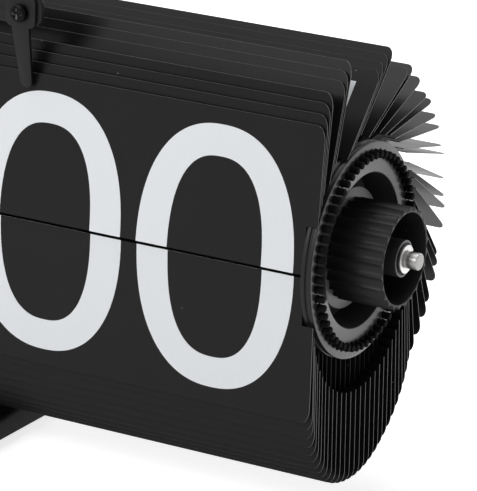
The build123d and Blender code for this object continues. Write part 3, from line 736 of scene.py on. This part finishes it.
# Flaps: how many stand together, and the lean of the first and the last from upright, in degrees
FAN = (
    (1, 5.0, 5.0), (3, 6.0, 7.3), (3, 15.9, 16.3), (4, 42.0, 43.0), (2, 60.0, 61.3), (1, 69.7, 69.7),
    (2, 78.4, 82.3), (2, 89.2, 94.2), (2, 101.8, 104.6), (2, 114.0, 120.0), (2, 123.1, 129.6),
    (2, 140.1, 141.8), (2, 145.6, 153.2), (3, 157.1, 169.0), (8, 172.5, 177.2), (20, 177.5, 177.5),
    (1, 180.0, 180.0),
)
FLAP_PACKS = (("front_upper_flap", 0, 1), ("upper_flaps", 1, 11), ("fan_flaps", 11, 31),
              ("hanging_flaps", 31, 59), ("falling_flap", 59, 60))
LEVEL_LEAN = 90
# Slots of a flap's materials: the sheet, the painted highlight on its edges, and the dimmer painted highlight
# on its tip.
SHEET, SIDE_HIGHLIGHT, TIP_HIGHLIGHT = range(3)


def flap_leans():
    leans = []
    for count, first, last in FAN:
        for index in range(count):
            leans.append(first + (last - first) * index / max(count - 1, 1))
    return leans


def pivot_angle(sizes, index):
    return sizes.phase + math.tau * (index + 0.5) / sizes.count


def flap_place(sizes, index, lean):
    """A flap's own frame: X along the axle, Y towards the tip, Z out of the face."""
    angle = pivot_angle(sizes, index)
    turn = math.radians(lean)
    radius = sizes.pivot_radius + sizes.front_play * max(0, sizes.front_play_count - index)
    across = Vector((1, 0, 0))
    tip = Vector((0, math.sin(turn), math.cos(turn)))
    out = Vector((0, -math.cos(turn), math.sin(turn)))
    place = Matrix((across, tip, out)).transposed().to_4x4()
    place.translation = (flap_middle, -radius * math.cos(angle), axle_height + radius * math.sin(angle))
    return place


def model_flap(sizes):
    """One flat sheet in its own frame: a wide plane, cut to the narrow part and the ears."""
    low = -sizes.lead
    sheet = new_plane("flap_pattern")
    start_edit(sheet)
    bpy.ops.transform.resize(value=(sizes.width, sizes.reach - low, 1))
    bpy.ops.transform.translate(value=(0, (sizes.reach + low) / 2, 0))
    narrow = sizes.width / 2 - sizes.side_cut
    ear = narrow + sizes.ear_reach
    cuts = [((0, sizes.side_cut_height, 0), (0, 1, 0))]
    cuts += [((0, side * sizes.ear_height / 2, 0), (0, 1, 0)) for side in (-1, 1)]
    cuts += [((side * edge, 0, 0), (1, 0, 0)) for side in (-1, 1) for edge in (narrow, ear)]
    for point, normal in cuts:
        take_all()
        bpy.ops.mesh.bisect(plane_co=point, plane_no=normal)

    def outside(face):
        middle = face.calc_center_median()
        limit = ear if abs(middle.y) < sizes.ear_height / 2 else narrow
        return middle.y < sizes.side_cut_height and abs(middle.x) > limit

    pick(sheet, "FACE", outside)
    bpy.ops.mesh.delete(type="FACE")
    pick(sheet, "VERT", lambda vert: near(vert.co.y, sizes.reach) and near(abs(vert.co.x), sizes.width / 2))
    bpy.ops.mesh.bevel(offset=sizes.tip_radius, segments=6, affect="VERTICES")
    end_edit()
    # The rim and the rounded edge faces take the painted highlight, and the tip's faces the dimmer one.
    set_finish(sheet, flap_sheet(), flap_side_edge(), flap_tip_edge())
    add_modifier(sheet, "SOLIDIFY", thickness=sizes.thickness, offset=0, material_offset_rim=SIDE_HIGHLIGHT)
    round_edges(sheet, sizes.edge, segments=1, degrees=60, material=SIDE_HIGHLIGHT)
    # The narrow part by the pivot, partly behind the discs and partly in their shade, keeps the plain sheet
    # on its edges, with no painted highlight.
    narrow_reach = sizes.side_cut_height + 2 * sizes.edge
    tip = sizes.reach - sizes.thickness
    mark_faces(sheet, SHEET, lambda face: face.center.y < narrow_reach)
    mark_faces(sheet, TIP_HIGHLIGHT, lambda face: face.material_index == SIDE_HIGHLIGHT and face.center.y > tip)
    return sheet


def plain_tip(flap):
    """Takes the painted highlight off the tip of a flap that points down; only tips that point up get it."""
    mark_faces(flap, SHEET, lambda face: face.material_index == TIP_HIGHLIGHT)


class FLIPCLOCK_OT_flaps(bpy.types.Operator):
    """Models one flap and lays out both drums' packs"""
    bl_idname = "flipclock.flaps"
    bl_label = "Flaps"

    def execute(self, context):
        sizes = context.scene.flap_sizes
        sheet = model_flap(sizes)
        leans = flap_leans()
        for name, first, last in FLAP_PACKS:
            copies = []
            for index in range(first, last):
                flap = copy_of(sheet, "flap_" + str(index))
                # Flaps that lean past level point their tips down, away from the top light, and lose the
                # painted highlight there.
                if leans[index] > LEVEL_LEAN:
                    plain_tip(flap)
                flap.data.transform(flap_place(sizes, index, leans[index]))
                copies.append(flap)
            show_both(joined(copies, name + "_pack"), name)
        bpy.data.objects.remove(sheet)
        return {"FINISHED"}


# Numerals
FIRST_HOUR = 10
HOURS = 12


def number_on(side, index, hour_flaps):
    """The number whose upper half a flap carries: minutes follow on, an hour stays for some flaps."""
    if side == "minute":
        return "%02d" % index
    return "%02d" % ((FIRST_HOUR - 1 + index // hour_flaps) % HOURS + 1)


def print_room(node, place):
    """Lowest and highest corner of a print in its flap's own frame."""
    points = [place.inverted() @ vert.co for vert in frame["nodes"][node].data.vertices]
    low = Vector([min(point[axis] for point in points) for axis in range(3)])
    high = Vector([max(point[axis] for point in points) for axis in range(3)])
    return low, high


def plain_digit(digit, weight):
    """A digit of the plain font as a flat mesh, with its middle at X 0 and its foot at Y 0."""
    choose(None)
    bpy.ops.object.text_add()
    text = bpy.context.object.data
    text.body = digit
    text.align_x = "CENTER"
    text.offset = weight
    text.resolution_u = 6
    bpy.ops.object.convert(target="MESH")
    obj = bpy.context.object
    obj.name = "digit_" + digit
    first, last = obj.bound_box[0], obj.bound_box[6]
    obj.data.transform(Matrix.Translation((-(first[0] + last[0]) / 2, -first[1], 0)))
    return obj


def plain_seven(sizes, height):
    """A seven with a straight top bar, with its middle at X 0 and its foot at Y 0."""
    half = sizes.digit_width / 2
    below = height - sizes.bar
    corners = [(-half, height), (half, height), (half, below), (sizes.stem, 0), (-sizes.stem, 0),
               (half - 2 * sizes.stem, below), (-half, below)]
    obj = drawn_line("digit_7", [(across, up, 0) for across, up in corners])
    bpy.ops.mesh.edge_face_add()
    end_edit()
    return obj


def plain_digits(sizes, height):
    """All ten digits at one height; the nine is the six, turned round."""
    digits = {digit: plain_digit(digit, sizes.weight) for digit in "01234568"}
    nought = digits["0"].dimensions.copy()
    for digit in digits.values():
        digit.data.transform(Matrix.Diagonal((sizes.digit_width / nought.x, height / nought.y, 1, 1)))
    digits["7"] = plain_seven(sizes, height)
    digits["9"] = copy_of(digits["6"], "digit_9")
    digits["9"].data.transform(Matrix.Translation((0, height, 0)) @ Matrix.Rotation(math.pi, 4, "Z"))
    return digits


def half_digit(digit, upper, height, ink):
    """A copy of a flat digit, cut at a height to one half, with the print's thickness."""
    half = copy_of(digit, digit.name + "_half")
    start_edit(half)
    bpy.ops.mesh.remove_doubles(threshold=MERGE_DISTANCE)
    take_all()
    bpy.ops.mesh.bisect(plane_co=(0, height, 0), plane_no=(0, 1, 0), clear_inner=upper, clear_outer=not upper)
    end_edit()
    add_modifier(half, "SOLIDIFY", thickness=ink, offset=1)
    return half


def set_number(digits, number, place, pitch):
    """Copies of a number's two digits, set on a flap."""
    copies = []
    for digit, step in zip(number, (-pitch / 2, pitch / 2)):
        other = copy_of(digits[digit], "print")
        other.data.transform(place @ Matrix.Translation((step, 0, 0)))
        copies.append(other)
    return copies


def show_print(copies, name, node):
    """Declares prints as one piece that rides with a node's body."""
    piece = joined(copies, name)
    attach(piece, frame["nodes"][node]["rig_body"])


class FLIPCLOCK_OT_numerals(bpy.types.Operator):
    """Finishes the front numerals and prints the packs and the back of the falling flaps"""
    bl_idname = "flipclock.numerals"
    bl_label = "Numerals"

    def execute(self, context):
        sizes = context.scene.print_sizes
        flaps = context.scene.flap_sizes
        for side in SIDES:
            paint_nodes(numeral_print(), side + "_upper_numerals", side + "_lower_numerals")
        leans = flap_leans()
        last = flaps.count - 1
        low, high = print_room("minute_upper_numerals", flap_place(flaps, 0, leans[0]))
        lower_low = print_room("minute_lower_numerals", flap_place(flaps, last, leans[last]))[0]
        below = low.y - sizes.split_gap
        foot = low.y + below - high.y
        digits = plain_digits(sizes, high.y - foot)
        for digit in digits.values():
            digit.data.transform(Matrix.Translation((0, foot, low.z)))
            set_finish(digit, numeral_print())
        upper = {name: half_digit(digit, True, low.y, sizes.ink) for name, digit in digits.items()}
        lower = {name: half_digit(digit, False, below, sizes.ink) for name, digit in digits.items()}
        pitch = (high.x - low.x) - sizes.digit_width
        turned_down = Matrix.Translation((0, lower_low.y + below, 0)) @ Matrix.Rotation(math.pi, 4, "X")
        for side in SIDES:
            shift = Matrix.Translation((0 if side == "minute" else -2 * flap_middle, 0, 0))
            places = [shift @ flap_place(flaps, index, lean) for index, lean in enumerate(leans)]
            numbers = [number_on(side, index, sizes.hour_flaps) for index in range(flaps.count)]
            prints = []
            for index in range(1, sizes.printed):
                prints += set_number(upper, numbers[index], places[index], pitch)
            prints += set_number(lower, numbers[last], places[last - 1] @ turned_down, pitch)
            show_print(prints, side + "_pack_print", side + "_fan_flaps")
            falling = set_number(upper, numbers[last], places[last], pitch)
            show_print(falling, side + "_falling_print", side + "_falling_flap")
        for pattern in (*digits.values(), *upper.values(), *lower.values()):
            bpy.data.objects.remove(pattern)
        return {"FINISHED"}


class FLIPCLOCK_OT_pegs(bpy.types.Operator):
    """Models one index peg and sets the ring of pegs"""
    bl_idname = "flipclock.pegs"
    bl_label = "Index pegs"

    def execute(self, context):
        sizes = context.scene.drum_sizes
        circle = sizes.rim_radius - sizes.peg_inset
        peg = round_bar("peg", peg_low.x, peg_high.x, sizes.peg_radius, PEG_SIDES, circle)
        start_edit(peg)
        pick(peg, "EDGE", lambda edge: lies_at(edge, peg_high.x))
        bpy.ops.mesh.bevel(offset=sizes.peg_round, segments=3, affect="EDGES")
        end_edit()
        smooth(peg, degrees=50)
        set_finish(peg, peg_moulding())
        show_both(round_about_axle(peg, context.scene.flap_sizes, "peg_ring"), "index_pegs")
        return {"FINISHED"}


# Discs
def disc_outline(sizes):
    """Section of the outer disc, as places along the axle and radii."""
    rim_x = disc_high.x - sizes.rim_width
    web_x = disc_high.x - sizes.well_depth
    wall = sizes.well_radius + sizes.well_wall
    groove_x = disc_high.x - (sizes.rim_width + sizes.groove_width) / 2
    groove_end = groove_x + sizes.groove_width
    groove_floor = sizes.rim_radius - sizes.groove_depth
    ear_floor = rim_x + sizes.ear_groove_depth
    return [
        (disc_high.x, sizes.well_radius), (disc_high.x, sizes.rim_radius), (groove_end, sizes.rim_radius),
        (groove_end, groove_floor), (groove_x, groove_floor), (groove_x, sizes.rim_radius),
        (rim_x, sizes.rim_radius), (rim_x, sizes.ear_groove_high), (ear_floor, sizes.ear_groove_high),
        (ear_floor, sizes.ear_groove_low), (rim_x, sizes.ear_groove_low), (rim_x, wall), (disc_low.x, wall),
        (disc_low.x, sizes.bore), (flange_low.x, sizes.bore), (flange_low.x, sizes.hub_radius),
        (web_x, sizes.hub_radius), (web_x, sizes.well_radius),
    ]


def peg_pockets(sizes, flaps):
    """Cutter for the pegs' pockets: a round bar drawn out along the radius, copied round."""
    circle = sizes.rim_radius - sizes.peg_inset
    cutter = round_bar("pocket", disc_high.x - sizes.pocket_depth, disc_high.x + sizes.pocket_depth,
                       sizes.peg_radius + sizes.pocket_gap, PEG_SIDES, circle)
    start_edit(cutter)
    for side in (-1, 1):
        pick(cutter, "VERT", lambda vert: (vert.co.z - axle_height - circle) * side > sizes.pocket_gap)
        bpy.ops.transform.translate(value=(0, 0, side * sizes.pocket_play / 2))
    end_edit()
    return round_about_axle(cutter, flaps, "pockets")


def from_axle(face):
    """Distance of a face's middle from the axle's line."""
    return math.hypot(face.center.y, face.center.z - axle_height)


class FLIPCLOCK_OT_discs(bpy.types.Operator):
    """Turns the outer discs, sinks their pockets, and finishes the inner discs and the cores"""
    bl_idname = "flipclock.discs"
    bl_label = "Discs"

    def execute(self, context):
        sizes = context.scene.drum_sizes
        disc = turned("outer_disc", disc_outline(sizes), WIDE_SIDES)
        round_edges(disc, sizes.edge)
        cut_by(disc, peg_pockets(sizes, context.scene.flap_sizes))
        smooth(disc)
        set_finish(disc, disc_grey_moulding(), bush_moulding(), disc_rim_moulding())
        well, rim = 1, 2
        well_end = sizes.well_radius + sizes.edge
        rim_floor = sizes.rim_radius - sizes.groove_depth - sizes.edge
        # The well's faces take the bush's black: painted shade in that recess.
        mark_faces(disc, well, lambda face: from_axle(face) < well_end)
        # The rim's outer side takes the darker copy of the disc's grey: painted shade on that side.
        mark_faces(disc, rim, lambda face: from_axle(face) > rim_floor and abs(face.normal.x) < RIM_TILT)
        show_both(disc, "outer_disc")
        paint_nodes(disc_grey_moulding(), *(side + "_inner_disc" for side in SIDES))
        paint_nodes(black_moulding(), *(side + "_drum_core" for side in SIDES))
        return {"FINISHED"}


# Setting knob
def flute_step(sizes, point):
    """How many of a knob's sides a point lies away from the middle of its flute."""
    angle = math.atan2(point.z - axle_height, point.y) * sizes.flutes / math.tau
    return round(abs(angle - round(angle)) * sizes.flute_sides)


def model_knob(sizes, bore):
    """A round bar with its sides drawn in at the flutes, then hollowed to a cup."""
    radius = (knob_high.z - knob_low.z) / 2
    sides = sizes.flutes * sizes.flute_sides
    knob = round_bar("setting_knob", knob_low.x, knob_high.x, radius, sides)
    hollow_middle = radius + sizes.flute_radius - sizes.flute_depth
    start_edit(knob)
    for step in range(sizes.flute_sides // 2):
        angle = math.tau * step / sides
        across = hollow_middle * math.sin(angle)
        depth = hollow_middle * math.cos(angle) - math.sqrt(sizes.flute_radius ** 2 - across ** 2)
        shrink = depth / radius
        pick(knob, "VERT", lambda vert: flute_step(sizes, vert.co) == step)
        bpy.ops.transform.resize(value=(1, shrink, shrink), center_override=axle_middle)
    end_edit()
    floor_x = knob_low.x + sizes.floor
    cut_by(knob, round_bar("cup", floor_x, knob_high.x + sizes.floor, sizes.cup_radius, WIDE_SIDES))
    cut_by(knob, round_bar("bore", knob_low.x - sizes.floor, knob_high.x, bore, BAR_SIDES))
    start_edit(knob)
    pick(knob, "EDGE", lambda edge: lies_at(edge, knob_high.x) and edge.calc_face_angle(0) > SHARP_TURN)
    bpy.ops.mesh.bevel(offset=sizes.edge, segments=2, affect="EDGES")
    end_edit()
    smooth(knob, degrees=25)
    set_finish(knob, knob_moulding())
    return knob


def model_flange(sizes, bore):
    """Flat ring with a rounded rim."""
    radius = (flange_high.z - flange_low.z) / 2
    outline = [(flange_low.x, bore), (flange_high.x, bore), (flange_high.x, radius), (flange_low.x, radius)]
    flange = turned("friction_flange", outline, RING_SIDES)
    dress(flange, sizes.flange_edge, flange_moulding())
    return flange


def model_bush(sizes, bore):
    """Sleeve on the axle whose end has a raised lip, rubbed grey."""
    radius = (bush_high.z - bush_low.z) / 2
    inside = radius - sizes.lip
    sunk = bush_high.x - sizes.lip_height
    outline = [(bush_low.x, bore), (sunk, bore), (sunk, inside), (bush_high.x, inside), (bush_high.x, radius),
               (bush_low.x, radius)]
    bush = turned("knob_bush", outline, SMALL_SIDES)
    dress(bush, sizes.bush_edge, bush_moulding(), flange_moulding())
    rubbed = 1
    mark_faces(bush, rubbed, lambda face: face.center.x > sunk + sizes.lip_height / 2)
    return bush


class FLIPCLOCK_OT_knobs(bpy.types.Operator):
    """Models the fluted setting knobs with their flanges and bushes"""
    bl_idname = "flipclock.knobs"
    bl_label = "Setting knobs"

    def execute(self, context):
        sizes = context.scene.knob_sizes
        bore = context.scene.drum_sizes.bore
        show_both(model_knob(sizes, bore), "setting_knob")
        show_both(model_flange(sizes, bore), "friction_flange")
        show_both(model_bush(sizes, bore), "knob_bush")
        return {"FINISHED"}


# Axle
def model_axle(sizes):
    """Round rod with a groove for each clip and rounded ends."""
    rod = round_bar("axle_rod", axle_low.x, axle_high.x, axle_radius, BAR_SIDES)
    groove_x = clip_high.x - sizes.clip_thickness
    groove_end = clip_high.x + sizes.clip_play
    start_edit(rod)
    for place in (-groove_end, -groove_x, groove_x, groove_end):
        take_all()
        bpy.ops.mesh.bisect(plane_co=(place, 0, 0), plane_no=(1, 0, 0))
    shrink = 1 - sizes.groove_depth / axle_radius
    for side in (-1, 1):
        pick(rod, "FACE", lambda face: groove_x < side * face.calc_center_median().x < groove_end)
        bpy.ops.mesh.extrude_region()
        bpy.ops.transform.resize(value=(1, shrink, shrink), center_override=axle_middle)
    pick(rod, "EDGE", lambda edge: lies_at(edge, axle_low.x) or lies_at(edge, axle_high.x))
    bpy.ops.mesh.bevel(offset=sizes.edge, segments=3, affect="EDGES")
    end_edit()
    smooth(rod)
    set_finish(rod, turned_axle())
    return rod


def model_clip(sizes):
    """Turned ring with an opening towards the back."""
    radius = (clip_high.z - clip_low.z) / 2
    inside = axle_radius - sizes.groove_depth
    low = clip_high.x - sizes.clip_thickness
    outline = [(low, inside), (clip_high.x, inside), (clip_high.x, radius), (low, radius)]
    clip = turned("clip", outline, SMALL_SIDES)
    choose(None)
    bpy.ops.mesh.primitive_cube_add(size=1, location=(low, radius, axle_height))
    bpy.context.object.scale = (2 * radius, 2 * radius, sizes.clip_mouth)
    cut_by(clip, place_in_mesh())
    dress(clip, sizes.clip_edge, turned_steel())
    return clip


class FLIPCLOCK_OT_axle(bpy.types.Operator):
    """Models the axle and its spring clips"""
    bl_idname = "flipclock.axle"
    bl_label = "Axle and clips"

    def execute(self, context):
        sizes = context.scene.axle_sizes
        show(model_axle(sizes), "axle")
        clip = model_clip(sizes)
        show(joined([clip, mirrored_copy(clip, "other_clip")], "clips"), "axle_clips")
        return {"FINISHED"}


# Pieces that keep their solid's form
def bare_recesses(screws, sizes):
    """Puts the second finish, bright steel, on the walls of the cross recess in each screw's head: painted
    glints in the dark head.
    """
    height = (screw_low.z + screw_high.z) / 2
    place = (screw_high.x - screw_low.x - (screw_high.z - screw_low.z)) / 2

    def recess_wall(face):
        radius = math.hypot(abs(face.center.x) - place, face.center.z - height)
        inside = radius < sizes.cross_length and face.center.y < screw_low.y + sizes.cross_depth
        return inside and abs(face.normal.y) < WALL_TILT

    glint_slot = 1
    mark_faces(screws, glint_slot, recess_wall)


class FLIPCLOCK_OT_catch(bpy.types.Operator):
    """Rounds and finishes the bracket, the catch fingers and their screws"""
    bl_idname = "flipclock.catch"
    bl_label = "Catch fingers"

    def execute(self, context):
        sizes = context.scene.stand_sizes
        for node in ("catch_bracket", "minute_catch_finger", "hour_catch_finger"):
            show_softened(node, sizes.catch_edge, "black_plastic", black_moulding())
        show_softened("bracket_screws", sizes.screw_edge, "column_black", black_screw())
        # The finger screws' recess walls take bright steel as painted glints.
        screws = show_softened("finger_screws", sizes.screw_edge, "column_black",
                               black_screw(), turned_steel())
        bare_recesses(screws, sizes)
        return {"FINISHED"}


class FLIPCLOCK_OT_column(bpy.types.Operator):
    """Rounds and finishes the column's shells, the battery cover and the side screws"""
    bl_idname = "flipclock.column"
    bl_label = "Column"

    def execute(self, context):
        for node in ("column_front_shell", "column_rear_cover", "battery_cover"):
            show_softened(node, context.scene.stand_sizes.shell_edge, "column_black", powder_coat())
        paint_nodes(turned_steel(), "column_screws")
        return {"FINISHED"}


class FLIPCLOCK_OT_foot(bpy.types.Operator):
    """Rounds and finishes the foot plate, its pad and its screws"""
    bl_idname = "flipclock.foot"
    bl_label = "Foot"

    def execute(self, context):
        sizes = context.scene.stand_sizes
        show_softened("base_plate", sizes.shell_edge, "column_black", powder_coat())
        show_softened("base_pad", sizes.catch_edge, "rubber", foot_rubber())
        paint_nodes(turned_steel(), "base_screws")
        return {"FINISHED"}


class FLIPCLOCK_OT_movement(bpy.types.Operator):
    """Finishes the gears, the motor, the cells and the board inside the column"""
    bl_idname = "flipclock.movement"
    bl_label = "Movement"

    def execute(self, context):
        paint_nodes(gear_acetal(), "minute_drive_wheel", "hour_wheel", "idler_gear")
        paint_nodes(turned_brass(), "minute_pinion", "motor_pinion", "minute_bush", "hour_bush")
        paint_nodes(turned_steel(), "motor_body", "idler_pin", "battery_contacts")
        paint_nodes(black_moulding(), "battery_tray")
        paint_nodes(cell_jacket(), "battery_cells")
        paint_nodes(board_coating(), "circuit_board")
        return {"FINISHED"}


# Stage
WHITE = (1, 1, 1, 1)


def seen_directly(tree):
    """1 for rays that show the background: from the camera, mirrored or through glass."""
    path = add_node(tree, "LightPath")
    total = path["Is Camera Ray"]
    for label in ("Is Glossy Ray", "Is Transmission Ray"):
        total = add_node(tree, "Math", {0: total, 1: path[label]}, "MAXIMUM")[0]
    return total


def floor_finish(colour, glow):
    """Pale floor that keeps its shadows and still reads as white."""
    material, tree, shader = new_material("pale_floor")
    fill(tree, shader, {
        "Base Color": (*colour, 1),
        "Roughness": 0.9,
        "Specular IOR Level": 0.1,
        "Emission Color": WHITE,
        "Emission Strength": spread(tree, seen_directly(tree), 0.0, glow),
    })
    return material


def light_world(scene, light):
    """White to the camera, softer as light."""
    world = bpy.data.worlds.new("studio")
    world.use_nodes = True
    tree = world.node_tree
    strength = spread(tree, seen_directly(tree), light, 1.0)
    fill(tree, tree.nodes["Background"], {"Color": WHITE, "Strength": strength})
    scene.world = world


def add_panel(name, place, size, power):
    """Soft square light aimed at the middle of the axle."""
    data = bpy.data.lights.new(name, "AREA")
    data.size = size
    data.energy = power
    lamp = bpy.data.objects.new(name, data)
    lamp.location = place
    lamp.rotation_euler = (axle_middle - Vector(place)).to_track_quat("-Z", "Y").to_euler()
    bpy.context.scene.collection.objects.link(lamp)


def add_camera(scene, stage):
    """Camera that stands where the photograph was taken from."""
    lens = bpy.data.cameras.new("camera")
    lens.lens = stage.lens
    lens.sensor_width = stage.sensor
    lens.sensor_fit = "HORIZONTAL"
    camera = bpy.data.objects.new("camera", lens)
    right = Vector(stage.right).normalized()
    up = Vector(stage.up).normalized()
    turn = Matrix((right, up, right.cross(up))).transposed().to_4x4()
    turn.translation = stage.eye
    camera.matrix_world = turn
    scene.collection.objects.link(camera)
    scene.camera = camera


class FLIPCLOCK_OT_stage(bpy.types.Operator):
    """Sets the floor, the light and the camera"""
    bl_idname = "flipclock.stage"
    bl_label = "Stage"

    def execute(self, context):
        stage = context.scene.stage_settings
        floor = new_plane("floor", stage.floor_size)
        set_finish(floor, floor_finish(context.scene.clock_finishes.floor, stage.floor_glow))
        light_world(context.scene, stage.world_light)
        for side in ("top", "front", "back"):
            place, size, power = (getattr(stage, side + part) for part in ("_place", "_size", "_power"))
            add_panel(side + "_panel", place, size, power)
        add_camera(context.scene, stage)
        context.scene.view_settings.view_transform = "Standard"
        return {"FINISHED"}


SETTINGS = (
    ("flap_sizes", FlapSizes), ("print_sizes", PrintSizes), ("drum_sizes", DrumSizes),
    ("knob_sizes", KnobSizes), ("axle_sizes", AxleSizes), ("stand_sizes", StandSizes),
    ("clock_finishes", Finishes), ("stage_settings", StageSettings),
)
OPERATORS = (
    FLIPCLOCK_OT_flaps, FLIPCLOCK_OT_numerals, FLIPCLOCK_OT_pegs, FLIPCLOCK_OT_discs, FLIPCLOCK_OT_knobs,
    FLIPCLOCK_OT_axle, FLIPCLOCK_OT_catch, FLIPCLOCK_OT_column, FLIPCLOCK_OT_foot, FLIPCLOCK_OT_movement,
    FLIPCLOCK_OT_stage,
)


class FLIPCLOCK_PT_sidebar(bpy.types.Panel):
    """Lists the steps that model and finish the clock"""
    bl_idname = "FLIPCLOCK_PT_sidebar"
    bl_label = "Flip clock"
    bl_space_type = "VIEW_3D"
    bl_region_type = "UI"
    bl_category = "Flip clock"

    def draw(self, context):
        for step in OPERATORS:
            self.layout.operator(step.bl_idname)


def register():
    for name, group in SETTINGS:
        bpy.utils.register_class(group)
        setattr(bpy.types.Scene, name, PointerProperty(type=group))
    for step in OPERATORS:
        bpy.utils.register_class(step)
    bpy.utils.register_class(FLIPCLOCK_PT_sidebar)


def unregister():
    bpy.utils.unregister_class(FLIPCLOCK_PT_sidebar)
    for step in reversed(OPERATORS):
        bpy.utils.unregister_class(step)
    for name, group in reversed(SETTINGS):
        delattr(bpy.types.Scene, name)
        bpy.utils.unregister_class(group)


def main():
    register()
    for step in OPERATORS:
        family, name = step.bl_idname.split(".")
        getattr(getattr(bpy.ops, family), name)()
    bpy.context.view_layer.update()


if __name__ == "__main__":
    main()
